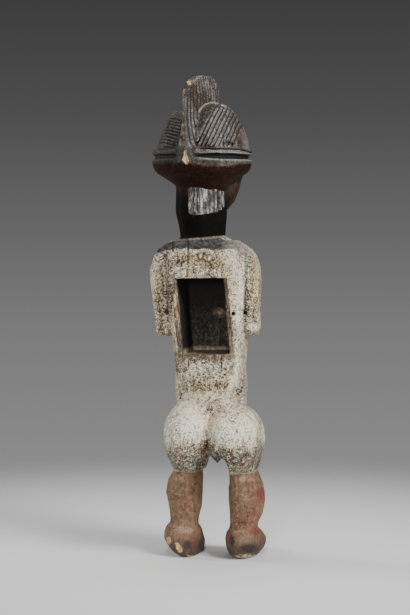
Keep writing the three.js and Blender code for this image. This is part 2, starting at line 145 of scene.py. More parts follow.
add_node(tree, "ShaderNodeOutputWorld", None, {"Surface": glow.outputs["Background"]})

LIGHTS_AIM_HEIGHT = 0.45
# Each light's name, how far right of the aim, how near and how high it is, its width in metres and its watts.
LIGHTS = [
    ("key_softbox", (1.45, 1.25, 1.6), 0.9, 52),
    ("front_softbox", (-0.25, 2.4, 0.75), 0.6, 28),
    ("left_rim_softbox", (-1.7, -0.5, 1.2), 0.7, 18),
    ("top_softbox", (0.0, -0.3, 2.2), 1.0, 12),
]
for name, (right, near, height), size, power in LIGHTS:
    place = aim + view_right * right + toward_camera * near
    place.z = height
    turn = (Vector((0, 0, LIGHTS_AIM_HEIGHT)) - place).to_track_quat("-Z", "Y").to_euler()
    bpy.ops.object.light_add(type="AREA", location=place, rotation=turn)
    light = bpy.context.object
    light.name = name
    light.data.shape = "DISK"
    light.data.size = size
    light.data.energy = power

# The figure: one block of hardwood, cut to shape with adze and knife and rubbed smooth. The piece starts as a
# copy of the plain solid, takes its lashing holes, and is remeshed finely enough for the marks of the tools.
VOXEL = 1.25 * MM
MOST_TRIANGLES = 194000
LASH_RADIUS = 3.6 * MM
LASH_DEPTH = 22 * MM
LASH_TURN = math.radians(4)
WELD = 0.01 * MM
LASH_PIXELS = [(166.9, 311.9), (233.3, 313.7), (245.2, 312.8)]


def sight_line(column, row):
    """The direction from the camera through a pixel of the photograph's frame."""
    across = (column - FRAME_PIXELS[0] / 2) / FRAME_PIXELS[1]
    down = (row - FRAME_PIXELS[1] / 2) / FRAME_PIXELS[1]
    reach = camera.data.lens / SENSOR_HEIGHT
    return (view_forward * reach + view_right * across - view_up * down).normalized()


def finish_modifier(piece, name, kind, **settings):
    """Adds a modifier to a piece and applies it."""
    modifier = piece.modifiers.new(name, kind)
    for setting, value in settings.items():
        setattr(modifier, setting, value)
    bpy.context.view_layer.objects.active = piece
    bpy.ops.object.modifier_apply(modifier=name)


solid_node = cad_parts["carved_figure"]
figure = bpy.data.objects.new("ancestor_figure", solid_node.data.copy())
bpy.context.scene.collection.objects.link(figure)
bpy.ops.object.select_all(action="DESELECT")
figure.select_set(True)
bpy.context.view_layer.objects.active = figure
bpy.ops.object.mode_set(mode="EDIT")
bpy.ops.mesh.select_all(action="SELECT")
bpy.ops.mesh.remove_doubles(threshold=WELD)
bpy.ops.object.mode_set(mode="OBJECT")
bpy.context.view_layer.update()

for column, row in LASH_PIXELS:
    _, mouth, _, _ = figure.ray_cast(eye, sight_line(column, row))
    bpy.ops.object.select_all(action="DESELECT")
    bpy.ops.mesh.primitive_cylinder_add(
        vertices=16, radius=LASH_RADIUS, depth=2 * LASH_DEPTH,
        location=mouth, rotation=(math.radians(90), 0, LASH_TURN),
    )
    drill = bpy.context.object
    finish_modifier(figure, "lashing_hole", "BOOLEAN", operation="DIFFERENCE", object=drill, solver="EXACT")
    bpy.data.objects.remove(drill)

finish_modifier(figure, "fine_skin", "REMESH", mode="VOXEL", voxel_size=VOXEL, adaptivity=0.0)

# The tool marks, worked into the fine skin by moving its points: first the facets of the plain solid are
# rubbed down, most on the body and least at crisp edges, and then the hair is combed and the wood is cut.
# In millimetres, as in the solid: the head's axis, the log's lean, the crest and the lobes, where 1 is left.
# A lobe's combing is the way across its grooves, the first groove, and their pitch and number.
HEAD_AXIS = np.array([12.6, 3.1])
HEAD_TURN = math.radians(-10)
CROWN = 676.0
LEAN_HEIGHTS = [0, 240, 340, 400, 465, 527, 560, 600, 650, 800]
LEAN_SHIFTS = [-7.1, -7.1, -3.5, -0.5, 3.2, 6.9, 9.3, 11.9, 12.7, 11.0]
BODY_Y = 9.1
CREST_REACH = (-74.0, 86.0)
CREST_PITCH = 7.0
CREST_WIDENING = 0.22
LOBES = {1: (50.0, 1.1), -1: (43.0, 1.37)}
LOBE_X = 37.0
LOBE_Y = -10.0
LOBE_SIZE = (76.0, 54.0, 75.0)
HOLLOW_HALF = 45
HOLLOW_HEIGHTS = (338, 468)
COMBING = {1: ((-0.24, -0.1, 0.966), -9.0, 5.4, 9), -1: ((-0.84, -0.34, -0.423), -8.0, 6.43, 9)}


def points_of(piece):
    """The points of a piece in millimetres, and their unit normals."""
    count = len(piece.data.vertices)
    points = np.empty(count * 3, np.float32)
    normals = np.empty(count * 3, np.float32)
    piece.data.vertices.foreach_get("co", points)
    piece.data.vertex_normals.foreach_get("vector", normals)
    return points.reshape(-1, 3).astype(float) / MM, normals.reshape(-1, 3).astype(float)


def set_points(piece, points):
    piece.data.vertices.foreach_set("co", (points * MM).astype(np.float32).ravel())
    piece.data.update()


def rise(values, low, high):
    """0 below low, 1 above high, and a smooth rise between."""
    part = np.clip((values - low) / (high - low), 0, 1)
    return part * part * (3 - 2 * part)


def noise(points, size, seed):
    """Smooth random values from -1 to 1, with features of about the given size in millimetres."""
    table = np.random.default_rng(seed).uniform(-1, 1, 8192)
    cells = np.floor(points / size).astype(np.int64)
    part = points / size - cells
    part = part * part * (3 - 2 * part)
    total = np.zeros(len(points))
    for corner in np.ndindex(2, 2, 2):
        at = cells + corner
        index = (at[:, 0] * 73856093 ^ at[:, 1] * 19349663 ^ at[:, 2] * 83492791) % 8192
        weight = np.prod(np.where(corner, part, 1 - part), axis=1)
        total += table[index] * weight
    return total


def head_place(points):
    """Places in the head's own frame: across, and along from forehead to nape, with the height unchanged."""
    shift = points[:, :2] - HEAD_AXIS
    across = shift[:, 0] * math.cos(HEAD_TURN) + shift[:, 1] * math.sin(HEAD_TURN)
    along = -shift[:, 0] * math.sin(HEAD_TURN) + shift[:, 1] * math.cos(HEAD_TURN)
    return across, along


def body_place(points):
    """Places in the upright log: across from its leaning middle, and along from the middle to the back."""
    return points[:, 0] - np.interp(points[:, 2], LEAN_HEIGHTS, LEAN_SHIFTS), points[:, 1] - BODY_Y


def rightward_place(points):
    """How far each point lies to the right of the figure's axis, as the camera sees it."""
    return -0.978 * points[:, 0] - 0.208 * points[:, 1]


def within_hollow(across, height, margin):
    """Whether each point lies within the width and the height of the hollow, grown by a margin."""
    tall = (height > HOLLOW_HEIGHTS[0] - 2 * margin) & (height < HOLLOW_HEIGHTS[1] + 2 * margin)
    return (np.abs(across) < HOLLOW_HALF + margin) & tall


def seen_pixels(points):
    """The pixel of the photograph's frame at which each point is seen."""
    away = points * MM - np.array(eye)
    depth = away @ np.array(view_forward)
    scale = FRAME_PIXELS[1] * camera.data.lens / SENSOR_HEIGHT / depth
    column = FRAME_PIXELS[0] / 2 + (away @ np.array(view_right)) * scale
    row = FRAME_PIXELS[1] / 2 - (away @ np.array(view_up)) * scale
    return column, row


def crest_half(along, height):
    """Half the thickness of the crest before it is combed."""
    middle = sum(CREST_REACH) / 2
    reach = (CREST_REACH[1] - CREST_REACH[0]) / 2
    tip = np.clip((height - 745) / 57, 0, 1)
    foot = np.clip((728 - height) / 84, 0, 1)
    out = np.clip(np.abs(along - middle) / reach, 0, 1)
    half = 16 * np.sqrt(1 - 0.9 * tip ** 2) + 20 * foot ** 1.2
    blunt = np.where(along < middle, 3.2, 1.7) + 4 * foot ** 1.4
    return half * np.maximum(0.04, 1 - out ** blunt)


def comb(phase):
    """How deep a groove is at a place counted in ribs: 1 in the groove, 0 on the rounded rib."""
    return 1 - np.abs(np.sin(np.pi * phase)) ** 0.6


def lobe_phase(across, along, height, side):
    """A place on a lobe counted in grooves, and how far it is inside the combed part."""
    axis, first, pitch, count = COMBING[side]
    length = math.hypot(*axis)
    place = (axis[0] * across + axis[1] * along + axis[2] * (height - CROWN - 3)) / length
    phase = (place - first) / pitch
    return phase, rise(phase, -0.55, -0.25) * (1 - rise(phase, count - 0.6, count - 0.3))


def crest_back(height):
    """How far back the rear edge of the crest lies at each height."""
    low = np.interp(height, [644, 656, 668, 700, 738], [74, 83, 83, 79, 79])
    bow = np.clip((height - 738) / 62, 0, 1) ** 1.15
    high = -14 + 93 * np.sqrt(np.maximum(0, 1 - bow ** 2)) ** 0.95
    return np.where(height < 738, low, high)


def hair_zones(points, wander):
    """How much each point is on the crest, and how deep in a groove it is on the crest and on each lobe."""
    across, along = head_place(points)
    height = points[:, 2]
    half = crest_half(along, height)
    gap = np.abs(across) - half
    crest = rise(height, 676, 684) * (1 - rise(gap, 1.0, 3.0))
    forward = np.maximum(0, CREST_REACH[1] - along - 0.03 * (height - 740))
    ribs = (np.sqrt(CREST_PITCH ** 2 + 4 * CREST_WIDENING * forward) - CREST_PITCH) / (2 * CREST_WIDENING)
    crest_groove = comb(ribs + 0.6 * wander) * (1 - rise(along - crest_back(height), -4.0, -2.5))
    lobes = {}
    for side, (lobe_half, roundness) in LOBES.items():
        out = np.clip((side * across - LOBE_X) / lobe_half, -1, 1)
        on = rise(height, CROWN + 1, CROWN + 5) * (1 - crest) * (side * across > 0)
        phase, combed = lobe_phase(across, along, height, side)
        lobes[side] = (on, out, comb(phase + wander) * combed, roundness)
    return crest, crest_groove, lobes


points, normals = points_of(figure)
across, along = body_place(points)
height = points[:, 2]
near_mouth = rise(along, 36, 44) * rise(height, 322, 330) * (1 - rise(height, 474, 482))
near_mouth = near_mouth * (np.abs(across) < 58)
in_hollow = within_hollow(across, height, 1) & (along > -42)
face = rise(height, 566, 574) * (1 - rise(height, 700, 706)) * (1 - rise(along, -62, -48))
toes = (1 - rise(height, 34, 44)) * (1 - rise(along, -60, -50))
hands = rise(height, 360, 366) * (1 - rise(height, 408, 414)) * (1 - rise(along, -62, -54))
hair = rise(height, 660, 668)
wedge = (np.abs(points[:, 0] + 16) < 26) & (height > 149) & (height < 182) & (np.abs(points[:, 1] - 17) < 26)
fine = np.maximum.reduce([near_mouth, in_hollow * 1.0, face, toes, hands, hair, wedge * 1.0])
body = figure.vertex_groups.new(name="rubbed")
for level in range(1, 6):
    chosen = np.nonzero(np.round((1 - fine) * 5) == level)[0]
    body.add(chosen.tolist(), level / 5, "REPLACE")
finish_modifier(figure, "rubbed_smooth", "SMOOTH", factor=0.5, iterations=22, vertex_group="rubbed")
cleft = (1 - rise(np.abs(points[:, 0] + 9), 12, 26)) * rise(height, 158, 175) * (1 - rise(height, 250, 275))
cleft = cleft * rise(along, 18, 34)
neck = rise(height, 536, 548) * (1 - rise(height, 598, 612)) * rise(along, -50, -40)
soft = figure.vertex_groups.new(name="soft_valleys")
for level in range(1, 6):
    chosen = np.nonzero(np.round(np.maximum(cleft, 0.8 * neck) * 5) == level)[0]
    soft.add(chosen.tolist(), level / 5, "REPLACE")
finish_modifier(figure, "softened", "SMOOTH", factor=0.5, iterations=110, vertex_group="soft_valleys")
finish_modifier(figure, "worn_edges", "SMOOTH", factor=0.5, iterations=3)

# The hair: combed ribs on both faces of the crest and over each lobe, cut into the smooth ideal forms.
HAIR_DEPTH = 2.4
CREST_DEPTH = 2.3
points, normals = points_of(figure)
wander = 0.12 * noise(points, 30, 3)
strength = 1 + 0.25 * noise(points, 17, 4)
crest, crest_groove, lobes = hair_zones(points, wander)
across, along = head_place(points)
half = crest_half(along, points[:, 2])
on_face = crest * rise(half, 2.0, 5.0) * (1 - rise(half - np.abs(across), 3.2, 5.5))
target = half - np.minimum(CREST_DEPTH * strength, 0.5 * half) * crest_groove
across_new = across + on_face * (np.sign(across) * target - across)
height_new = points[:, 2].copy()
along_new = along.copy()
for side, (on, out, groove, roundness) in lobes.items():
    bend = np.where(out < 0, 6.0, roundness)
    ideal = np.maximum(0, 1 - np.abs(out) ** bend) ** (1 / bend)
    reach = np.where(along > LOBE_Y, LOBE_SIZE[0], LOBE_SIZE[1])
    radius = np.hypot((along - LOBE_Y) / reach, (points[:, 2] - CROWN) / LOBE_SIZE[2])
    dip = HAIR_DEPTH * strength * groove * rise(ideal, 0.06, 0.22) / LOBE_SIZE[2]
    outer = on * rise(radius, 0.08, 0.2) * (np.abs(radius - ideal) < 0.12)
    grow = 1 + outer * ((ideal - dip) / np.maximum(radius, 0.05) - 1)
    along_new = LOBE_Y + (along_new - LOBE_Y) * grow
    height_new = CROWN + (height_new - CROWN) * grow
points[:, 0] = HEAD_AXIS[0] + across_new * math.cos(HEAD_TURN) - along_new * math.sin(HEAD_TURN)
points[:, 1] = HEAD_AXIS[1] + across_new * math.sin(HEAD_TURN) + along_new * math.cos(HEAD_TURN)
points[:, 2] = height_new
set_points(figure, points)

# Cracks, chips, worm holes and tool facets. Their places are pixels of the photograph, and their widths and
# depths are millimetres on the wood. The worm holes are about 2 mm wide at the figure's size, which is finer
# than its mesh can hold, so they are drawn about 4 mm wide.
PIXEL_MM = 1.66
CRACKS = [
    ([(188.0, 240.0), (187.6, 258.0), (187.0, 277.0)], 1.2, 4.0),
    ([(188.5, 359.5), (188.2, 367.5)], 1.1, 2.0),
    ([(220.7, 357.5), (221.5, 365.0), (221.0, 373.5)], 1.1, 2.2),
    ([(172.6, 240.6), (172.8, 252.0)], 1.0, 1.2),
    ([(246.5, 507.0), (247.3, 519.0)], 0.8, 0.7),
    ([(199.2, 186.0), (199.6, 200.0), (199.3, 213.0)], 1.4, 1.2),
    ([(187.3, 190.0), (187.0, 214.0)], 1.0, 0.6),
    ([(214.6, 188.0), (215.4, 206.0)], 1.0, 0.6),
]
SEAMS = [
    ([(165.8, 254.0), (166.6, 290.0), (168.8, 336.0)], 4.5, 1.0),
    ([(245.9, 248.0), (245.3, 290.0), (244.9, 331.0)], 4.0, 1.6),
]
CHIPS = [
    ([(184.8, 151.2), (186.8, 155.0), (188.9, 160.6), (186.7, 164.4), (182.6, 160.2), (183.4, 154.8)], 2.2),
    ([(188.2, 80.2), (190.8, 81.6), (190.4, 84.6), (187.2, 84.9)], 1.4),
    ([(167.2, 536.8), (169.6, 537.0), (170.8, 541.5), (169.6, 543.8), (167.0, 542.6), (166.6, 539.0)], 1.4),
    ([(175.4, 543.4), (178.4, 542.2), (182.4, 548.6), (182.2, 551.8), (179.6, 552.4), (176.0, 547.6)], 2.0),
    ([(187.0, 554.4), (193.0, 556.0), (198.2, 553.6), (197.0, 557.0), (192.0, 559.4), (187.0, 557.4)], 1.0),
    ([(174.0, 294.0), (175.7, 295.0), (176.4, 305.0), (175.0, 308.0)], 0.6),
    ([(175.8, 311.0), (177.4, 312.5), (178.4, 319.0), (177.6, 321.5), (176.8, 318.0)], 0.6),
]
NICKS = [
    ([(199.9, 253.4), (201.9, 254.6), (201.3, 258.8), (199.6, 258.2)], 0.5),
    ([(195.2, 255.6), (196.6, 255.4), (196.5, 258.2), (195.4, 258.2)], 0.5),
    ([(208.4, 256.6), (211.2, 255.9), (210.2, 259.3), (208.7, 260.7)], 0.5),
    ([(207.2, 364.8), (209.8, 364.6), (210.2, 366.9), (208.0, 367.6)], 0.4),
]
PITS = [
    (236.5, 391.0), (238.4, 389.4), (240.0, 392.2), (241.6, 390.8), (239.2, 395.2), (237.6, 393.4),
    (242.0, 387.8), (227.2, 385.2), (224.6, 374.8), (180.3, 398.0), (224.2, 351.8),
]
PIT_RADIUS = 2.1
PIT_DEPTH = 2.2
HAIR_BORDER = [
    (199.4, 112.0), (201.2, 108.4), (204.5, 105.2), (208.7, 103.2), (214.0, 102.6), (220.0, 104.2),
    (226.0, 106.8),
]
HAIR_BAND = [
    (199.6, 113.0), (202.0, 109.8), (205.0, 106.6), (209.0, 104.8), (214.0, 104.2), (220.0, 105.6),
    (224.5, 107.0), (220.0, 106.6), (216.0, 108.2), (212.0, 111.8), (208.6, 117.0), (205.4, 122.0),
    (201.5, 128.5), (198.0, 130.0),
]


def line_distance(column, row, path):
    """The distance in millimetres from each point, as it is seen, to a bent line of pixels."""
    nearest = np.full(len(column), 1e9)
    for (c0, r0), (c1, r1) in zip(path, path[1:]):
        length = (c1 - c0) ** 2 + (r1 - r0) ** 2
        part = np.clip(((column - c0) * (c1 - c0) + (row - r0) * (r1 - r0)) / length, 0, 1)
        nearest = np.minimum(nearest, np.hypot(column - c0 - part * (c1 - c0), row - r0 - part * (r1 - r0)))
    return nearest * PIXEL_MM


def inset(column, row, outline):
    """How many millimetres each seen point lies inside an outline of pixels, negative outside it."""
    within = np.zeros(len(column), bool)
    for (c0, r0), (c1, r1) in zip(outline, outline[1:] + outline[:1]):
        crosses = (r0 > row) != (r1 > row)
        within ^= crosses & (column < (c1 - c0) * (row - r0) / (r1 - r0 + 1e-9) + c0)
    return np.where(within, 1, -1) * line_distance(column, row, outline + outline[:1])


def wood_marks(points, normals):
    """Depths in millimetres of the marks that the camera sees, at each point, by kind of mark."""
    column, row = seen_pixels(points)
    facing = rise(normals @ np.array(toward_camera), 0.02, 0.2) * (body_place(points)[1] > 6)
    waver = noise(points, 7, 11)
    depths = {kind: np.zeros(len(points)) for kind in ("crack", "seam", "chip", "nick", "pit")}
    for path, half_width, depth in CRACKS:
        gap = line_distance(column, row, path) + 0.2 * waver
        depths["crack"] = np.maximum(depths["crack"], depth * (1 - rise(gap, 0.3 * half_width, half_width)))
    for path, half_width, depth in SEAMS:
        gap = line_distance(column, row, path) + 0.5 * waver
        depths["seam"] = np.maximum(depths["seam"], depth * (1 - rise(gap, 0, half_width)))
    for kind, shapes in (("chip", CHIPS), ("nick", NICKS)):
        for outline, depth in shapes:
            deep = rise(inset(column, row, outline) + 1.3 * waver, -0.4, 1.0)
            depths[kind] = np.maximum(depths[kind], depth * deep)
    holes = [(place, PIT_RADIUS) for place in PITS] + [(place, LASH_RADIUS / MM) for place in LASH_PIXELS]
    for (c, r), radius in holes:
        gap = np.hypot(column - c, row - r) * PIXEL_MM
        depths["pit"] = np.maximum(depths["pit"], PIT_DEPTH * (1 - rise(gap, 0.5 * radius, radius)))
    marks = {kind: depth * facing for kind, depth in depths.items()}
    rolled = 1 - rise(line_distance(column, row, HAIR_BORDER) + 0.5 * noise(points, 4, 12), 0.5, 2.2)
    marks["border"] = 1.2 * rolled * (points[:, 1] > -40) * (head_place(points)[0] < -2)
    return marks


def brim_marks(points):
    """The groove round the brim, widest at the right of the view, and the line below the lobes that is
    painted dark as shade.
    """
    rightward = rightward_place(points)
    head_along = head_place(points)[1]
    height = points[:, 2]
    reach = rise(head_along, -60, -40)
    swell = rise(rightward, -26, 10) * (1 - rise(rightward, 46, 76))
    line = 664.5 + 1.4 * noise(points, 22, 24) - 3.0 * rise(rightward, 30, 75)
    width = 1.3 + 2.6 * swell + 0.7 * noise(points, 13, 25)
    groove = reach * (1 - rise(np.abs(height - line), 0.6 * width, width + 1.2))
    groove = groove * (0.25 + 0.75 * rise(rightward, -30, -12))
    foot_line = 675.6 + 0.8 * noise(points, 12, 26) - 3.5 * rise(rightward, 40, 75)
    foot = reach * (1 - rise(np.abs(height - foot_line), 0.8, 2.4)) * rise(rightward, -22, -8)
    return groove, foot


points, normals = points_of(figure)
across, along = body_place(points)
marks = wood_marks(points, normals)
in_hollow = within_hollow(across, points[:, 2], 0) & (along > -42) & (along < 46)
calm = np.where(points[:, 2] > 682, 0.3, 1.0)
facets = 0.45 * noise(points * [1, 1, 0.45], 11, 21) + 0.25 * noise(points * [1, 1, 0.6], 4.6, 22)
gouges = np.where(in_hollow, 0.9 * noise(points * [0.6, 0.6, 1.5], 7, 23), 0)
brim_groove, _ = brim_marks(points)
lift = calm * facets + gouges + marks["border"] - 2.6 * brim_groove
for kind in ("crack", "seam", "chip", "nick", "pit"):
    lift = lift - marks[kind]
set_points(figure, points + normals * lift[:, None])

triangles = sum(len(polygon.vertices) - 2 for polygon in figure.data.polygons)
finish_modifier(figure, "fewer_faces", "DECIMATE", ratio=min(1.0, MOST_TRIANGLES / triangles))
bpy.ops.object.select_all(action="DESELECT")
figure.select_set(True)
bpy.context.view_layer.objects.active = figure
bpy.ops.object.shade_smooth()

# Where each finish lies, kept on the points of the mesh: the hair and its grooves, the bare underside of the
# head, the black neck and its scuffed patch, the dark shoulder band, the whitened body, the reddened legs,
# the hollow, the bared wood, and how sharply the surface stands out or folds in. Some masks place painted
# light and shade: highlights, sheen, and shade in grooves, creases, the hollow and under parts. A spot is a
# place and the half width and half height of a soft oval, in pixels of the photograph. Heights are
# millimetres.
HAIRLINE = 653
COLLAR = 532.4
SHOULDER_BAND = 513
ARRIS_STEP = 4
ARRIS_WIDTH = 2.6
ARRIS_TOP = 778
NECK_PATCH = [
    (187.2, 180), (223.5, 180), (224.4, 206.5), (221.0, 209.0), (214.5, 212.5), (204.0, 214.2),
    (192.5, 215.0), (188.6, 213.6),
]
# Spots painted dark as shade: under the ends of the arms, at the wedge between the legs, along the inner
# edges of the feet and low on the heels.
DARK_SHADE_SPOTS = [
    ((187.5, 545.0), (4.6, 4.8)), ((249.0, 548.2), (10.5, 4.6)), ((201.0, 547.0), (3.0, 9.0)),
    ((232.0, 541.0), (3.0, 7.0)), ((217.4, 459.0), (6.5, 5.5)), ((247.5, 332.0), (8.0, 2.2)),
    ((167.0, 334.5), (8.0, 1.8)),
]
# Stains on the legs and body, and spots of painted shade along the arm seams and down the cleft of the
# buttocks.
STAINS_AND_SHADE = [
    ((176.0, 497.5), (6.5, 4.6)), ((194.5, 508.0), (3.6, 7.0)), ((235.5, 502.0), (3.6, 7.5)),
    ((238.5, 521.0), (5.6, 5.5)), ((168.0, 529.0), (3.4, 5.5)), ((232.5, 366.0), (3.5, 9.0)),
    ((230.5, 322.0), (3.0, 9.0)), ((246.5, 300.0), (3.0, 22.0)), ((170.0, 300.0), (4.0, 26.0)),
    ((206.0, 440.0), (3.5, 14.0)), ((178.0, 262.0), (6.0, 5.0)), ((209.0, 409.0), (5.0, 4.0)),
]
# Spots of painted shadow beside the two chips on the crest.
SHADE = [((190.5, 160.0), (4.6, 7.0)), ((187.0, 90.0), (3.6, 5.0))]
# Spots where kaolin is rubbed smooth and painted brighter as sheen: the right panel of the back and the tops
# of the buttocks.
SMOOTH = [
    ((236.5, 296.0), (8.0, 46.0)), ((236.0, 372.0), (6.5, 24.0)), ((188.0, 408.0), (21.0, 11.0)),
    ((232.0, 404.0), (20.0, 7.0)), ((254.0, 420.0), (7.0, 17.0)), ((198.0, 420.0), (8.0, 12.0)),
    ((228.0, 258.0), (9.0, 10.0)), ((207.0, 396.0), (26.0, 5.0)),
]
BROWN = [
    ((254.0, 288.0), (4.6, 36.0)), ((161.0, 300.0), (3.6, 30.0)), ((192.0, 258.0), (24.0, 6.0)),
    ((214.0, 262.0), (12.0, 9.0)), ((229.0, 330.0), (4.0, 24.0)), ((203.0, 386.0), (22.0, 7.0)),
    ((205.0, 448.0), (7.0, 9.0)), ((176.0, 362.0), (6.0, 12.0)),
]
# Spots of thicker white kaolin, and painted highlight strips along the lit edges of the left arm, the torso's
# right corner and the right buttock.
WHITE_AND_HIGHLIGHT = [
    ((223.0, 428.0), (15.0, 10.0)), ((186.0, 427.0), (12.0, 9.0)), ((243.0, 430.0), (6.0, 12.0)),
    ((241.0, 300.0), (4.0, 44.0)), ((153.0, 275.0), (3.0, 22.0)), ((205.0, 366.0), (16.0, 6.0)),
    ((264.0, 432.0), (4.0, 14.0)), ((253.0, 327.0), (5.0, 5.0)), ((196.0, 368.0), (14.0, 7.0)),
    ((172.0, 256.0), (4.0, 8.0)),
]
SOLES = [((247.5, 556.6), (15.0, 2.6)), ((193.0, 557.2), (6.0, 2.0))]
ROUGE = [
    ((260.5, 494.0), (5.5, 10.0)), ((256.0, 530.0), (8.5, 5.5)), ((262.5, 541.0), (4.0, 5.0)),
    ((190.5, 553.4), (2.6, 2.4)), ((249.0, 484.0), (5.0, 7.0)),
]
# Spots painted lighter as light falling on the upward-facing tops of the calves and heels.
PALE = [
    ((181.0, 478.0), (7.5, 3.6)), ((245.0, 479.0), (8.0, 3.2)), ((184.0, 529.5), (10.5, 4.4)),
    ((242.0, 532.5), (7.5, 2.8)),
]


def keep_mask(piece, name, values):
    attribute = piece.data.attributes.new(name, "FLOAT", "POINT")
    attribute.data.foreach_set("value", np.clip(values, 0, 1).astype(np.float32))


def sharpness(piece, normals, rounds):
    """How far each point stands proud of its neighbours, negative where it lies between them, smoothed."""
    edges = np.empty(len(piece.data.edges) * 2, np.int32)
    piece.data.edges.foreach_get("vertices", edges)
    first, second = edges.reshape(-1, 2).T
    places, _ = points_of(piece)
    step = places[second] - places[first]
    length = np.maximum(np.linalg.norm(step, axis=1), 1e-6)
    bend = ((normals[second] - normals[first]) * step).sum(1) / length ** 2
    count = np.bincount(first, minlength=len(places)) + np.bincount(second, minlength=len(places))
    values = (np.bincount(first, bend, len(places)) + np.bincount(second, bend, len(places))) / count
    for _ in range(rounds):
        total = np.bincount(first, values[second], len(places))
        total = total + np.bincount(second, values[first], len(places))
        values = 0.5 * values + 0.5 * total / count
    return values


def spots(column, row, places):
    """How much each seen point lies in soft oval spots of pixels."""
    cover = np.zeros(len(column))
    for (c, r), (half_wide, half_high) in places:
        reach = np.hypot((column - c) / half_wide, (row - r) / half_high)
        cover = np.maximum(cover, 1 - rise(reach, 0.35, 1.25))
    return cover


def left_arris(points, crest):
    """How much each point lies in the worn strip along the left edge of the crest's rear face."""
    head_across, head_along = head_place(points)
    height = points[:, 2]
    back = crest_back(height)
    rear = (head_along > back - 3) & (crest > 0.5)
    slot = np.round(height / ARRIS_STEP).astype(int)
    edge = np.full(slot.max() + 2, -99.0)
    np.maximum.at(edge, slot[rear], head_across[rear])
    inside = head_across - edge[slot] + ARRIS_WIDTH + 1.2 * noise(points, 9, 34)
    return crest * rise(head_along - back, -4, -2) * rise(inside, -0.8, 0.8) * (height <= ARRIS_TOP)


points, normals = points_of(figure)
column, row = seen_pixels(points)
across, along = body_place(points)
head_across, head_along = head_place(points)
height = points[:, 2]
marks = wood_marks(points, normals)
wander = 0.12 * noise(points, 30, 3)
crest, crest_groove, lobes = hair_zones(points, wander)
crest_faces = crest * rise(crest_half(head_along, height), 2.0, 5.0)
groove = crest_faces * crest_groove
for on, _, lobe_groove, _ in lobes.values():
    groove = np.maximum(groove, on * lobe_groove)
brim_groove, lobe_foot = brim_marks(points)
# The grooves and the line under the lobes, later painted near-black as shade.
groove = np.maximum(groove, (1 - crest) * np.maximum(brim_groove, 0.9 * lobe_foot))
seen = rise(normals @ np.array(toward_camera), 0.05, 0.3)
band = rise(inset(column, row, HAIR_BAND), -0.6, 0.8)
band = band * (points[:, 1] > -40) * (height > 690) * (head_across < -4)
oval = np.hypot(head_across / 59, (height - 640) / 65)
face_skin = (1 - rise(oval, 0.94, 1.0)) * (1 - rise(head_along, -46, -32))
nape = rise(head_along, 20, 60) * rise(-head_across, 10, 40)
hairline = HAIRLINE - 5 * nape + 1.5 * noise(points, 14, 33)
under_patch = rise(inset(column, row, NECK_PATCH), -1, 1) * seen * (1 - rise(-normals[:, 2], 0.3, 0.5))
chin = rise(np.hypot(head_across - 3, head_along), 46, 50) * rise(height, 554, 560)
rightward = rightward_place(points)
collar = COLLAR + 0.075 * rightward
curve = sharpness(figure, normals, 2)
in_hollow = within_hollow(across, height, 0.5) & (along > -44)
